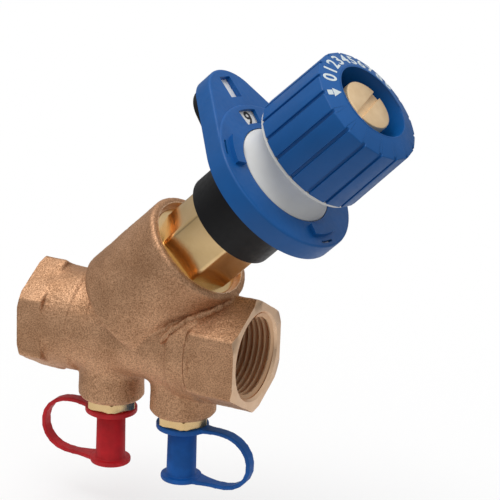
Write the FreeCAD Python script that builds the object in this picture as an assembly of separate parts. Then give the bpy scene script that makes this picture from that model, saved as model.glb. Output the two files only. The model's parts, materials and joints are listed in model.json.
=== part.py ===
import FreeCAD, Part
import math
import os
from FreeCAD import Placement, Rotation, Vector

os.makedirs("parts", exist_ok=True)

# A DN 20 balancing valve with a slanted bonnet, in millimetres.
# The origin is the middle of the inlet face, +X runs with the flow and +Z is up.
# Levels of the bonnet stack are distances along the slanted axis from its foot on the pipe axis.

# Pipe run: a bronze casting with a Rp 3/4 parallel thread in each port
body_length = 75.0
port_flats = 32.0
port_thread_radius = 13.22
port_thread_length = 14.5
port_mouth_chamfer = 0.8
port_face_radius = 17.6
port_chamfer_angle = 30.0
inlet_hex_length = 8.5
outlet_hex_length = 16.0
inlet_neck_radius = 16.0
waist_radius = 13.9
waist_start = 36.0
waist_end = 40.0
outlet_neck_radius = 17.2
# This start lies so far in from the outlet face
outlet_neck_start = 21.0
channel_radius = 12.0

# Slanted barrel of the casting, with the seat inside it
axis_foot = 23.5
axis_angle = 45.0
barrel_radius = 18.6
barrel_start = 10.5
barrel_length = 33.5
barrel_edge_round = 2.0
barrel_mouth_round = 1.5
mouth_radius = 16.2
mouth_depth = 2.5
chamber_radius = 13.6
seat_level = 18.0
seat_radius = 9.0
seat_lip_height = 1.0
seat_lip_width = 1.5
web_wall = 3.0

# Bosses for the two test points
test_point_offset = 25.0
test_point_pitch = 25.4
boss_radius = 10.3
boss_drop = 22.9
boss_chamfer_width = 1.4
boss_chamfer_height = 2.4
boss_flare_width = 3.7
boss_flare_drop = 13.5
boss_top_drop = 4.0
test_thread_radius = 6.58
test_thread_length = 8.0
sense_hole_radius = 1.5

# Bonnet: one brass turning with a hexagon, screwed into the barrel
bonnet_thread_radius = 15.0
bonnet_thread_length = 6.5
thread_runout = 1.0
bonnet_collar_radius = 15.3
bonnet_collar_height = 1.7
bonnet_cone_angle = 8.0
bonnet_hex_flats = 24.0
bonnet_hex_turn = 13.6
bonnet_hex_height = 18.0
bonnet_neck_radius = 8.9
bonnet_seal_section = 0.9

# Spindle, disc and throttle cone
open_turns = 9
spindle_pitch = 1.0
spindle_thread_radius = 6.0
spindle_thread_length = 16.0
stem_radius = 4.8
stem_hex_flats = 8.0
stem_seal_section = 0.9
stem_seal_pitch = 4.0
drain_passage_radius = 1.6
drain_port_radius = 1.0
disc_radius = 11.2
disc_height = 5.0
disc_bore_radius = 4.0
disc_seal_outer = 10.9
disc_seal_inner = 7.0
disc_seal_depth = 2.0
disc_seal_proud = 0.4
throttle_radius = 8.2
throttle_tip_radius = 5.0
throttle_height = 8.0
throttle_stud_radius = 2.0
throttle_stud_length = 4.5

# Slotted drain screw in the end of the spindle
drain_head_radius = 8.2
drain_head_height = 5.0
drain_head_chamfer = 0.5
drain_setback = 1.7
drain_slot_width = 2.4
drain_slot_depth = 1.6
drain_slot_turn = 100.0
drain_shank_radius = 2.5
drain_shank_length = 7.0
drain_seal_thickness = 0.8
drain_seal_radius = 4.0

# Black base: a sleeve over the bonnet hexagon, the floor of the counter and a pad under the ear
sleeve_radius = 15.5
sleeve_length = 17.5
sleeve_grip = 3.0
sleeve_wall = 1.8
base_ledge = 1.5
base_floor = 0.7
pad_drop = 3.5
pad_inset = 1.2
pad_edge_round = 1.2

# Blue housing: a round cover with an ear
housing_radius = 25.3
housing_height = 6.5
housing_wall = 1.1
housing_edge_round = 0.8
ear_turn = 11.3
ear_distance = 26.7
ear_radius = 11.6
ear_wall = 1.6
ear_step = 0.4
ear_recess_offset = 5.1
ear_recess_length = 7.3
ear_recess_width = 5.2
ear_recess_depth = 1.9
window_edge = 1.9
window_bridge = 1.85
window_angle = 21.0
collar_hole_radius = 16.5
latch_count = 3
latch_first = 60.0
latch_angle = 28.0
latch_edge = 3.7
latch_bridge = 1.5
latch_height = 1.3
latch_slot_angle = 13.0
latch_slot_edge = 1.4
latch_slot_width = 0.7

# White dial with the turn numbers, and the counter that drives it
dial_collar_height = 11.3
dial_disc = 1.0
dial_bore_radius = 12.2
dial_waist_radius = 14.7
dial_lip_radius = 18.4
dial_waist_height = 4.2
dial_lip_height = 0.9
counter_orbit_turn = 140.0
floor_ring_wall = 2.3
pinion_teeth = 9
floor_ring_teeth = 36
dial_ring_teeth = 40
pinion_bore_radius = 1.5
tooth_height_above = 0.7
tooth_height_below = 1.05
tooth_share_tip = 0.09
tooth_share_foot = 0.27
carrier_thickness = 0.9
carrier_rim = 2.4

# Handwheel
knob_radius_low = 19.05
knob_radius_high = 18.6
knob_length = 23.7
knob_crown = 2.2
knob_panels = 18
knob_groove_width = 1.0
knob_groove_depth = 0.9
knob_wall = 2.2
knob_recess_radius = 12.36
knob_web = 3.0
hub_radius = 11.5
clip_offset = 5.0
clip_width = 1.0
clip_inner_radius = 8.4
clip_outer_radius = 9.6
clip_gap_angle = 40.0

# Test points, caps and their straps
gasket_thickness = 0.5
gasket_radius = 8.4
test_hex_flats = 14.5
test_hex_turn = 8.2
test_hex_height = 3.1
nipple_radius = 3.45
nipple_length = 15.6
nipple_bore_radius = 1.4
test_seal_radius = 2.2
test_seal_length = 4.5
test_lip = 1.0
strap_ring_radius = 8.2
strap_ring_thickness = 1.8
strap_ring_bore = 3.8
strap_width = 3.6
strap_thickness = 1.3
strap_reach = 24.0
cap_radius_top = 4.5
cap_radius_low = 4.65
cap_wall = 0.95
cap_length = 17.0
cap_flange_radius = 6.4
cap_flange_thickness = 1.5
cap_tongue_length = 5.0

# Clearances
running = 0.05
thread_clearance = 0.1
seated = 0.05
free = 0.3
stop_gap = 0.5
cut_over = 1.0

# Levels of the bonnet stack
barrel_end = barrel_start + barrel_length
collar_seat = barrel_end - mouth_depth
collar_top = collar_seat + bonnet_collar_height
bonnet_nose = collar_seat - bonnet_thread_length
hex_top = barrel_end + bonnet_hex_height
sleeve_low = hex_top - sleeve_grip
housing_low = sleeve_low + sleeve_length
housing_top = housing_low + housing_height
knob_low = housing_top + dial_collar_height
knob_rim = knob_low + knob_length
knob_end = knob_rim + knob_crown
lift = open_turns * spindle_pitch
drain_face = knob_end - drain_setback
drain_seat = drain_face - drain_head_height
spindle_top = drain_seat - drain_seal_thickness
web_high = spindle_top - lift - stop_gap
web_low = web_high - knob_web
bonnet_top = knob_low - cut_over
clip_level = housing_top + clip_offset
seal_low = seat_level + lift + thread_clearance
disc_low = seal_low + disc_seal_proud
disc_high = disc_low + disc_height
spindle_thread_top = disc_high + spindle_thread_length
stem_bore_low = spindle_thread_top + stop_gap
stem_seal_level = stem_bore_low + lift + 2 * stem_seal_section
stem_hex_low = web_low - stop_gap

# Levels inside the housing, from its roof down to the floor
dial_top = housing_top - housing_wall - free
dial_low = dial_top - dial_disc
carrier_top = dial_low - free
carrier_low = carrier_top - carrier_thickness
floor_top = housing_low + base_floor
gear_width = (carrier_low - floor_top - 3 * free) / 2
floor_gear_low = floor_top + free
floor_gear_high = floor_gear_low + gear_width
dial_gear_low = floor_gear_high + free
dial_gear_high = dial_gear_low + gear_width
housing_bore = housing_radius - housing_wall
dial_radius = housing_bore - free
floor_radius = housing_bore - seated

# Places on the housing's roof, and the path of the counter pinion inside the toothed floor ring
window_inner = collar_hole_radius + window_bridge
window_outer = housing_radius - window_edge
latch_inner = collar_hole_radius + latch_bridge
latch_outer = housing_radius - latch_edge
latch_slot_outer = housing_radius - latch_slot_edge
ear_recess_distance = ear_distance + ear_recess_offset
floor_ring_foot = floor_radius - floor_ring_wall
floor_ring_module = 2 * floor_ring_foot / (floor_ring_teeth + 2 * tooth_height_below)
counter_orbit = floor_ring_module * (floor_ring_teeth - pinion_teeth) / 2
dial_ring_module = 2 * counter_orbit / (dial_ring_teeth - pinion_teeth)

# Levels below the pipe axis
gasket_top = -boss_drop
hex_face = gasket_top - gasket_thickness
ring_top = hex_face - test_hex_height
ring_low = ring_top - strap_ring_thickness
cap_top = ring_low - seated
cap_low = cap_top - cap_length
nipple_end = ring_top - nipple_length

# Frames: the pipe runs along X with a hexagon corner up, the stack leans from Z towards X
slant = math.radians(axis_angle)
along_pipe = Placement(Vector(0, 0, 0), Rotation(Vector(0, 0, 1), Vector(0, -1, 0), Vector(1, 0, 0)))
along_stack = Placement(
    Vector(axis_foot, 0, 0),
    Rotation(
        Vector(-math.sin(slant), 0, math.cos(slant)),
        Vector(0, -1, 0),
        Vector(math.cos(slant), 0, math.sin(slant)),
    ),
)
upright = Vector(0, 0, 1)
centre = Vector(0, 0, 0)


def placed(shape, placement):
    """The shape, made about Z, moved into the pipe's or the stack's frame."""
    moved = shape.copy()
    moved.Placement = placement.multiply(moved.Placement)
    return moved


def turned(shape, angle):
    copy = shape.copy()
    copy.rotate(centre, upright, angle)
    return copy


def rod(radius, low, high):
    return Part.makeCylinder(radius, high - low, Vector(0, 0, low))


def tube(outer, inner, low, high):
    return rod(outer, low, high).cut(rod(inner, low - cut_over, high + cut_over))


def lathe(points):
    """Solid turned about Z from a closed profile of (radius, level) points."""
    corners = [Vector(radius, 0, level) for radius, level in points]
    return Part.Face(Part.makePolygon(corners + corners[:1])).revolve(centre, upright, 360)


def prism(points, low, high):
    """Straight prism on a polygon of (x, y) points."""
    corners = [Vector(x, y, low) for x, y in points]
    return Part.Face(Part.makePolygon(corners + corners[:1])).extrude(Vector(0, 0, high - low))


def polygon(sides, apothem):
    """Corner points of a regular polygon, with its first corner on the X axis."""
    radius = apothem / math.cos(math.pi / sides)
    angles = [2 * math.pi * side / sides for side in range(sides)]
    return [(radius * math.cos(angle), radius * math.sin(angle)) for angle in angles]


def hexagon(flats, low, high):
    return prism(polygon(6, flats / 2), low, high)


def block(length, width, low, high, distance=0.0):
    """Box centred on the X axis at a distance from Z."""
    return Part.makeBox(length, width, high - low, Vector(distance - length / 2, -width / 2, low))


def sector(outer, inner, angle, low, high):
    """Piece of a tube, centred on the X axis."""
    wedge = Part.makeCylinder(outer, high - low, Vector(0, 0, low), upright, angle)
    core = rod(inner, low - cut_over, high + cut_over)
    return turned(wedge.cut(core), -angle / 2)


def pear(radius, tip_radius, distance, low, high):
    """Prism on a round outline drawn out by tangents to a smaller tip circle on the X axis."""
    lean = math.acos((radius - tip_radius) / distance)
    root_point = Vector(radius * math.cos(lean), radius * math.sin(lean), low)
    tip_point = Vector(distance + tip_radius * math.cos(lean), tip_radius * math.sin(lean), low)
    root_mirror = Vector(root_point.x, -root_point.y, low)
    tip_mirror = Vector(tip_point.x, -tip_point.y, low)
    edges = [
        Part.Arc(root_point, Vector(-radius, 0, low), root_mirror).toShape(),
        Part.LineSegment(root_mirror, tip_mirror).toShape(),
        Part.Arc(tip_mirror, Vector(distance + tip_radius, 0, low), tip_point).toShape(),
        Part.LineSegment(tip_point, root_point).toShape(),
    ]
    return Part.Face(Part.Wire(edges)).extrude(Vector(0, 0, high - low))


def edges_at(shape, level):
    """Edges that lie wholly at one level."""
    near = 0.001
    return [
        edge
        for edge in shape.Edges
        if abs(edge.BoundBox.ZMin - level) < near and abs(edge.BoundBox.ZMax - level) < near
    ]


def o_ring(major, section, level):
    return Part.makeTorus(major, section, Vector(0, 0, level))


def tooth_points(teeth, module, outward):
    """Outline of a gear with straight-sided teeth: outward for a pinion, inward for a ring."""
    pitch_radius = teeth * module / 2
    side = 1 if outward else -1
    tip = pitch_radius + side * tooth_height_above * module
    foot = pitch_radius - side * tooth_height_below * module
    step = 2 * math.pi / teeth
    points = []
    for tooth in range(teeth):
        middle = (tooth if outward else tooth + 0.5) * step
        flank = [
            (foot, -tooth_share_foot),
            (tip, -tooth_share_tip),
            (tip, tooth_share_tip),
            (foot, tooth_share_foot),
        ]
        for radius, share in flank:
            angle = middle + share * step
            points.append((radius * math.cos(angle), radius * math.sin(angle)))
    return points


def port_hexagon(length):
    """Hexagon of a port from its end face inwards, with turned corners at the face."""
    corner = polygon(6, port_flats / 2)[0][0]
    depth = (corner - port_face_radius) * math.tan(math.radians(port_chamfer_angle))
    turning = lathe([(0, 0), (port_face_radius, 0), (corner, depth), (corner, length), (0, length)])
    return hexagon(port_flats, 0, length).common(turning)


def port_bore():
    """Thread bore of a port from its end face inwards, with a chamfered mouth."""
    mouth = port_thread_radius + port_mouth_chamfer
    return lathe(
        [
            (0, -cut_over),
            (mouth, -cut_over),
            (mouth, 0),
            (port_thread_radius, port_mouth_chamfer),
            (port_thread_radius, port_thread_length),
            (0, port_thread_length),
        ]
    )


def at_outlet(shape):
    """A port feature turned round to face out of the outlet."""
    flipped = shape.copy()
    flipped.rotate(centre, Vector(1, 0, 0), 180)
    flipped.translate(Vector(0, 0, body_length))
    return flipped


def test_places():
    return {"red": test_point_offset, "blue": test_point_offset + test_point_pitch}


def casting():
    """Outside of the body: two hexagon ports, a waisted neck, the slanted barrel and two bosses."""
    outlet_hex_low = body_length - outlet_hex_length
    neck = lathe(
        [
            (0, inlet_hex_length),
            (inlet_neck_radius, inlet_hex_length),
            (waist_radius, waist_start),
            (waist_radius, waist_end),
            (outlet_neck_radius, body_length - outlet_neck_start),
            (outlet_neck_radius, outlet_hex_low),
            (0, outlet_hex_low),
        ]
    )
    run = neck.fuse([port_hexagon(inlet_hex_length), at_outlet(port_hexagon(outlet_hex_length))])
    barrel = rod(barrel_radius, barrel_start, barrel_end)
    barrel = barrel.makeFillet(barrel_edge_round, edges_at(barrel, barrel_start))
    barrel = barrel.makeFillet(barrel_mouth_round, edges_at(barrel, barrel_end))
    boss = lathe(
        [
            (0, -boss_drop),
            (boss_radius - boss_chamfer_width, -boss_drop),
            (boss_radius, boss_chamfer_height - boss_drop),
            (boss_radius, -boss_flare_drop),
            (boss_radius + boss_flare_width, -boss_top_drop),
            (0, -boss_top_drop),
        ]
    )
    bosses = [boss.translated(Vector(place, 0, 0)) for place in test_places().values()]
    return placed(run, along_pipe).fuse([placed(barrel, along_stack)] + bosses).removeSplitter()


def valve_body():
    """The casting with its ports, flow passages, seat, bonnet thread and test point bores."""
    inlet_end = axis_foot + (seat_radius + seated) / math.sin(slant) - channel_radius
    inlet = rod(channel_radius, port_thread_length - cut_over, inlet_end)
    outlet = rod(channel_radius, axis_foot, body_length - port_thread_length + cut_over)
    pocket = placed(outlet, along_pipe).common(placed(outlet_side(), along_stack))
    ports = [placed(port_bore(), along_pipe), placed(at_outlet(port_bore()), along_pipe)]
    seat_floor = seat_level - seat_lip_height
    lip = tube(seat_radius + seat_lip_width, seat_radius, seat_floor - cut_over, seat_level)
    chamber = rod(chamber_radius, seat_floor, bonnet_nose).cut(lip)
    well = [
        rod(seat_radius, -seat_radius / 2, seat_level + cut_over),
        chamber,
        rod(bonnet_thread_radius, bonnet_nose - thread_runout, collar_seat),
        rod(mouth_radius, collar_seat, barrel_end + cut_over),
    ]
    cores = [placed(inlet, along_pipe), pocket] + ports
    cores += [placed(core, along_stack) for core in well]
    for place in test_places().values():
        thread = rod(test_thread_radius, -boss_drop - cut_over, test_thread_length - boss_drop)
        sense = rod(sense_hole_radius, -boss_drop, -channel_radius / 2)
        cores += [core.translated(Vector(place, 0, 0)) for core in (thread, sense)]
    return casting().cut(cores).removeSplitter()


def outlet_side():
    """The half of the casting beyond the wall of the seat, as seen from the bonnet axis."""
    reach = 2 * body_length
    return Part.makeBox(reach, reach, 2 * reach, Vector(-reach - seat_radius - web_wall, -reach / 2, -reach))


def bonnet():
    """Thread, undercut for the seal, collar, cone, hexagon and the long neck, bored for the spindle."""
    thread = bonnet_thread_radius - thread_clearance
    undercut = thread - 2 * bonnet_seal_section - seated
    undercut_low = collar_seat - 2 * bonnet_seal_section - 2 * seated
    cone_radius = bonnet_hex_flats / 2
    cone_top = collar_top + (bonnet_collar_radius - cone_radius) * math.tan(math.radians(bonnet_cone_angle))
    turning = lathe(
        [
            (0, bonnet_nose),
            (thread - thread_clearance, bonnet_nose),
            (thread, bonnet_nose + thread_clearance),
            (thread, undercut_low),
            (undercut, undercut_low),
            (undercut, collar_seat),
            (bonnet_collar_radius, collar_seat),
            (bonnet_collar_radius, collar_top),
            (cone_radius, cone_top),
            (cone_radius, hex_top),
            (bonnet_neck_radius, hex_top),
            (bonnet_neck_radius, bonnet_top - stop_gap),
            (bonnet_neck_radius - stop_gap, bonnet_top),
            (0, bonnet_top),
        ]
    )
    hex_bar = hexagon(bonnet_hex_flats, collar_top, hex_top).common(rod(bonnet_hex_turn, collar_top, hex_top))
    groove = tube(
        bonnet_neck_radius + cut_over, clip_inner_radius - thread_clearance, clip_level - seated,
        clip_level + clip_width + seated,
    )
    thread_bore = rod(spindle_thread_radius + running, bonnet_nose - cut_over, stem_bore_low)
    stem_bore = rod(stem_radius + running, bonnet_nose, bonnet_top + cut_over)
    return turning.fuse(hex_bar).cut([groove, thread_bore, stem_bore]).removeSplitter()


def bonnet_seal():
    major = bonnet_thread_radius - thread_clearance - bonnet_seal_section
    return o_ring(major, bonnet_seal_section - seated, collar_seat - bonnet_seal_section - seated)


def stem_seal_levels():
    return [stem_seal_level, stem_seal_level + stem_seal_pitch]


def spindle():
    """Spigot for the disc, lifting thread, stem with two seal grooves and a hexagon for the handwheel."""
    spigot = rod(disc_bore_radius, disc_low, disc_high)
    thread = rod(spindle_thread_radius, disc_high, spindle_thread_top)
    grooves = [
        tube(
            stem_radius + cut_over, stem_radius - 2 * stem_seal_section,
            level - stem_seal_section - seated, level + stem_seal_section + seated,
        )
        for level in stem_seal_levels()
    ]
    stem = rod(stem_radius, spindle_thread_top, stem_hex_low).cut(grooves)
    drive = hexagon(stem_hex_flats, stem_hex_low, spindle_top)
    drive = drive.common(rod(stem_radius, stem_hex_low, spindle_top))
    stud_end = disc_low + throttle_stud_length + stop_gap
    stud = rod(throttle_stud_radius + thread_clearance, disc_low - cut_over, stud_end)
    screw_end = drain_seat - drain_shank_length - stop_gap
    screw = rod(drain_shank_radius + thread_clearance, screw_end, drain_seat)
    port_level = (disc_high + bonnet_nose) / 2
    passage = rod(drain_passage_radius, port_level, drain_seat)
    port = Part.makeCylinder(
        drain_port_radius, 4 * spindle_thread_radius,
        Vector(-2 * spindle_thread_radius, 0, port_level), Vector(1, 0, 0),
    )
    return spigot.fuse([thread, stem, drive]).cut([stud, screw, passage, port]).removeSplitter()


def spindle_o_rings():
    rings = [
        o_ring(stem_radius - stem_seal_section, stem_seal_section - seated, level)
        for level in stem_seal_levels()
    ]
    return Part.makeCompound(rings)


def valve_disc():
    """Disc with a groove in its lower face for the seal."""
    groove = tube(
        disc_seal_outer + seated, disc_seal_inner - seated, disc_low - cut_over,
        disc_low + disc_seal_depth + seated,
    )
    return tube(disc_radius, disc_bore_radius + seated, disc_low, disc_high - seated).cut(groove)


def disc_seal():
    """Seal ring whose inner lip is held under the throttle cone."""
    lip = throttle_radius + thread_clearance
    return lathe(
        [
            (disc_seal_inner, disc_low + seated),
            (lip, disc_low + seated),
            (lip, seal_low),
            (disc_seal_outer, seal_low),
            (disc_seal_outer, disc_low + disc_seal_depth),
            (disc_seal_inner, disc_low + disc_seal_depth),
        ]
    )


def throttle_cone():
    """Tapered plug that clamps the seal, on a stud screwed into the spindle."""
    return lathe(
        [
            (0, disc_low - throttle_height),
            (throttle_tip_radius, disc_low - throttle_height),
            (throttle_radius, disc_low - 2 * seated),
            (throttle_radius, disc_low - seated),
            (throttle_stud_radius, disc_low - seated),
            (throttle_stud_radius, disc_low + throttle_stud_length),
            (0, disc_low + throttle_stud_length),
        ]
    )


def drain_screw():
    """Round head with a screwdriver slot, on a short shank."""
    head = lathe(
        [
            (0, drain_seat + seated),
            (drain_head_radius, drain_seat + seated),
            (drain_head_radius, drain_face - drain_head_chamfer),
            (drain_head_radius - drain_head_chamfer, drain_face),
            (0, drain_face),
        ]
    )
    slot_floor = drain_face - drain_slot_depth
    slot = block(4 * drain_head_radius, drain_slot_width, slot_floor, drain_face + cut_over)
    shank = rod(drain_shank_radius, drain_seat - drain_shank_length, drain_seat + seated)
    return head.fuse(shank).cut(turned(slot, drain_slot_turn)).removeSplitter()


def drain_seal():
    return tube(drain_seal_radius, drain_shank_radius + seated, spindle_top + seated, drain_seat)


def base_sleeve():
    """Sleeve with a hexagon socket, a ledge on the bonnet, the toothed floor ring and the ear pad."""
    ledge_top = hex_top + base_ledge
    bore = sleeve_radius - sleeve_wall
    passage = bonnet_neck_radius + free
    shell = lathe(
        [
            (passage, hex_top),
            (sleeve_radius, hex_top),
            (sleeve_radius, housing_low),
            (floor_radius, housing_low),
            (floor_radius, floor_top),
            (passage, floor_top),
            (passage, housing_low - base_floor),
            (bore, housing_low - base_floor),
            (bore, ledge_top),
            (passage, ledge_top),
        ]
    )
    socket = hexagon(bonnet_hex_flats + 2 * thread_clearance, sleeve_low - cut_over, hex_top)
    socket = socket.common(rod(bonnet_hex_turn + thread_clearance, sleeve_low - cut_over, hex_top))
    grip = rod(sleeve_radius, sleeve_low, hex_top).cut(socket)
    teeth = prism(tooth_points(floor_ring_teeth, floor_ring_module, False), floor_top, floor_gear_high)
    ring = rod(floor_radius, floor_top, floor_gear_high).cut(teeth)
    pad_low = housing_low - pad_drop
    pad = pear(sleeve_radius, ear_radius - pad_inset, ear_distance, pad_low, housing_low)
    pad = pad.makeFillet(pad_edge_round, edges_at(pad, pad_low))
    pad = pad.cut(rod(bore, pad_low - cut_over, housing_low + cut_over))
    return shell.fuse([grip, turned(ring, counter_orbit_turn), turned(pad, -ear_turn)]).removeSplitter()


def indicator_housing():
    """Round cover drawn out into an ear, with the number window, three latches and the ear's recess."""
    ear_top = housing_top - ear_step
    outline = pear(housing_radius, ear_radius, ear_distance, housing_low, ear_top)
    outline = outline.makeFillet(housing_edge_round, edges_at(outline, ear_top))
    cover = rod(housing_radius, housing_low, housing_top)
    cover = cover.makeFillet(housing_edge_round, edges_at(cover, housing_top))
    roof_low = housing_top - housing_wall
    hollow = rod(housing_bore, housing_low - cut_over, roof_low)
    ear_roof = roof_low - ear_step
    ear_hollow = pear(
        housing_bore - ear_wall, ear_radius - ear_wall, ear_distance, housing_low - cut_over, ear_roof
    )
    recess_floor = ear_top - ear_recess_depth
    cup_low = recess_floor - housing_wall
    cup_length = ear_recess_length + 2 * ear_wall
    cup_width = ear_recess_width + 2 * ear_wall
    cup = block(cup_length, cup_width, cup_low, roof_low, ear_recess_distance)
    cup = cup.common(pear(housing_radius, ear_radius - ear_wall, ear_distance, cup_low, roof_low))
    ear_hollow = ear_hollow.cut(cup.cut(rod(housing_bore, cup_low, roof_low)))
    recess = block(ear_recess_length, ear_recess_width, recess_floor, housing_top, ear_recess_distance)
    latches = []
    slots = []
    for latch in range(latch_count):
        angle = latch_first + latch * 360 / latch_count
        latches.append(
            turned(sector(latch_outer, latch_inner, latch_angle, roof_low, housing_top + latch_height), angle)
        )
        slots.append(
            turned(
                sector(
                    latch_slot_outer, latch_slot_outer - latch_slot_width, latch_slot_angle,
                    roof_low - cut_over, housing_top + cut_over,
                ),
                angle,
            )
        )
    window = sector(window_outer, window_inner, window_angle, roof_low - cut_over, housing_top + cut_over)
    collar_hole = rod(collar_hole_radius, roof_low - cut_over, housing_top + cut_over)
    cuts = [hollow, ear_hollow, recess, window, collar_hole] + slots
    return turned(outline.fuse(cover).cut(cuts).fuse(latches).removeSplitter(), -ear_turn)


def number_dial():
    """Disc that carries the numbers, a waisted collar up to the handwheel and an inner gear ring."""
    collar_foot = collar_hole_radius - free
    lip_top = knob_low - free
    lip_low = lip_top - dial_lip_height
    ring_foot = dial_ring_module * (dial_ring_teeth / 2 + tooth_height_below)
    disc = lathe(
        [
            (dial_bore_radius, dial_low),
            (ring_foot, dial_low),
            (ring_foot, dial_gear_low),
            (dial_radius, dial_gear_low),
            (dial_radius, dial_top),
            (dial_bore_radius, dial_top),
        ]
    )
    foot = Vector(collar_foot, 0, housing_top)
    waist = Vector(dial_waist_radius, 0, housing_top + dial_waist_height)
    lip = Vector(dial_lip_radius, 0, lip_low)
    inside = [
        lip,
        Vector(dial_lip_radius, 0, lip_top),
        Vector(dial_bore_radius, 0, lip_top),
        Vector(dial_bore_radius, 0, dial_top),
        Vector(collar_foot, 0, dial_top),
        foot,
    ]
    outline = Part.Wire([Part.Arc(foot, waist, lip).toShape()] + Part.makePolygon(inside).Edges)
    collar = Part.Face(outline).revolve(centre, upright, 360)
    teeth = prism(tooth_points(dial_ring_teeth, dial_ring_module, False), dial_gear_low, dial_gear_high)
    ring = rod(ring_foot + seated, dial_gear_low, dial_gear_high).cut(teeth)
    return disc.fuse([collar, turned(ring, counter_orbit_turn)]).removeSplitter()


def counter_carrier():
    """Ring under the handwheel's hub with the pin that the counter pinion turns on."""
    reach = counter_orbit + carrier_rim
    plate = tube(reach, bonnet_neck_radius + free, carrier_low, carrier_top)
    pin = rod(pinion_bore_radius, floor_gear_low, carrier_low).translated(Vector(counter_orbit, 0, 0))
    return turned(plate.fuse(pin), counter_orbit_turn).removeSplitter()


def counter_pinion():
    """Stepped pinion: the lower teeth roll in the floor ring and the upper ones turn the dial."""
    lower = prism(tooth_points(pinion_teeth, floor_ring_module, True), floor_gear_low, floor_gear_high)
    upper = prism(tooth_points(pinion_teeth, dial_ring_module, True), dial_gear_low, dial_gear_high)
    core_radius = dial_ring_module * (pinion_teeth / 2 - tooth_height_below)
    core = rod(core_radius, floor_gear_low, dial_gear_high)
    bore = rod(pinion_bore_radius + running, floor_gear_low - cut_over, dial_gear_high + cut_over)
    gear = lower.fuse([upper, core]).cut(bore).removeSplitter()
    return turned(gear.translated(Vector(counter_orbit, 0, 0)), counter_orbit_turn)


def knob_shell():
    """Tapered outside of flat panels under a shallow conical crown, with a groove at each corner."""
    def panel_wire(apothem, level):
        corners = [Vector(x, y, level) for x, y in polygon(knob_panels, apothem)]
        return Part.makePolygon(corners + corners[:1])

    taper = (knob_radius_high - knob_radius_low) / knob_length
    radius_end = knob_radius_high + taper * knob_crown
    wires = [panel_wire(knob_radius_low, knob_low), panel_wire(radius_end, knob_end)]
    sides = Part.makeLoft(wires, True, True)
    crown_slope = knob_crown / (knob_radius_high - knob_recess_radius)
    wide = 2 * knob_radius_low
    crown = lathe(
        [
            (0, knob_low),
            (wide, knob_low),
            (wide, knob_rim - (wide - knob_radius_high) * crown_slope),
            (knob_recess_radius, knob_end),
            (0, knob_end),
        ]
    )
    shell = sides.common(crown)
    corner_low = knob_radius_low / math.cos(math.pi / knob_panels)
    corner_end = radius_end / math.cos(math.pi / knob_panels)
    groove_corners = [
        Vector(corner_low - knob_groove_depth, -knob_groove_width / 2, knob_low),
        Vector(corner_low + knob_groove_depth, -knob_groove_width / 2, knob_low),
        Vector(corner_end + knob_groove_depth, -knob_groove_width / 2, knob_end),
        Vector(corner_end - knob_groove_depth, -knob_groove_width / 2, knob_end),
    ]
    groove_face = Part.Face(Part.makePolygon(groove_corners + groove_corners[:1]))
    groove = groove_face.extrude(Vector(0, knob_groove_width, 0))
    return shell.cut([turned(groove, panel * 360 / knob_panels) for panel in range(knob_panels)])


def handwheel():
    """Knob with an open recess at its end, a web with the drive hexagon, a hollow below and a long hub."""
    hollow = tube(knob_radius_high - knob_wall, hub_radius, knob_low - cut_over, web_low)
    recess = rod(knob_recess_radius, web_high, knob_end + cut_over)
    bore = rod(bonnet_neck_radius + running, carrier_top - cut_over, web_low)
    drive = hexagon(stem_hex_flats + 2 * running, web_low - cut_over, web_high + cut_over)
    groove = tube(
        clip_outer_radius + thread_clearance, bonnet_neck_radius, clip_level - seated,
        clip_level + clip_width + seated,
    )
    hub = rod(hub_radius, carrier_top, knob_low)
    return knob_shell().fuse(hub).cut([hollow, recess, bore, drive, groove]).removeSplitter()


def handwheel_clip():
    """Open snap ring, half in the hub's groove and half in the neck's."""
    ring = tube(clip_outer_radius, clip_inner_radius, clip_level, clip_level + clip_width)
    gap = sector(2 * clip_outer_radius, 0, clip_gap_angle, clip_level - cut_over, clip_level + 2 * clip_width)
    return ring.cut(gap)


def test_point():
    """Thread, hexagon and the nipple that a measuring needle goes into."""
    thread_top = test_thread_length - boss_drop - stop_gap
    hex_bar = hexagon(test_hex_flats, ring_top, hex_face).common(rod(test_hex_turn, ring_top, hex_face))
    shank = rod(test_thread_radius - thread_clearance, hex_face, thread_top)
    nipple = rod(nipple_radius, nipple_end, ring_top)
    needle_way = rod(nipple_bore_radius, nipple_end - cut_over, thread_top + cut_over)
    pocket_low = nipple_end + test_lip
    pocket = rod(test_seal_radius + seated, pocket_low, pocket_low + test_seal_length + seated)
    return hex_bar.fuse([shank, nipple]).cut([needle_way, pocket]).removeSplitter()


def test_point_gasket():
    return tube(gasket_radius, test_thread_radius, hex_face, gasket_top)


def test_point_seal():
    """Rubber plug, slit for the needle, that closes the nipple."""
    low = nipple_end + test_lip
    return rod(test_seal_radius, low, low + test_seal_length)


def cap():
    """Rubber cap with a flange at its closed end and a short tongue towards the strap."""
    outside = lathe(
        [
            (0, cap_low),
            (cap_flange_radius, cap_low),
            (cap_flange_radius, cap_low + cap_flange_thickness),
            (cap_radius_low, cap_low + cap_flange_thickness),
            (cap_radius_top, cap_top),
            (0, cap_top),
        ]
    )
    tongue_high = cap_low + (cap_flange_thickness + strap_thickness) / 2
    tongue = block(
        cap_tongue_length, strap_width, tongue_high - strap_thickness, tongue_high,
        cap_flange_radius + cap_tongue_length / 2 - seated,
    )
    floor = nipple_end - free
    inside = rod(cap_radius_top - cap_wall, floor, cap_top + cut_over)
    return outside.fuse(tongue).cut(inside).removeSplitter()


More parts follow.
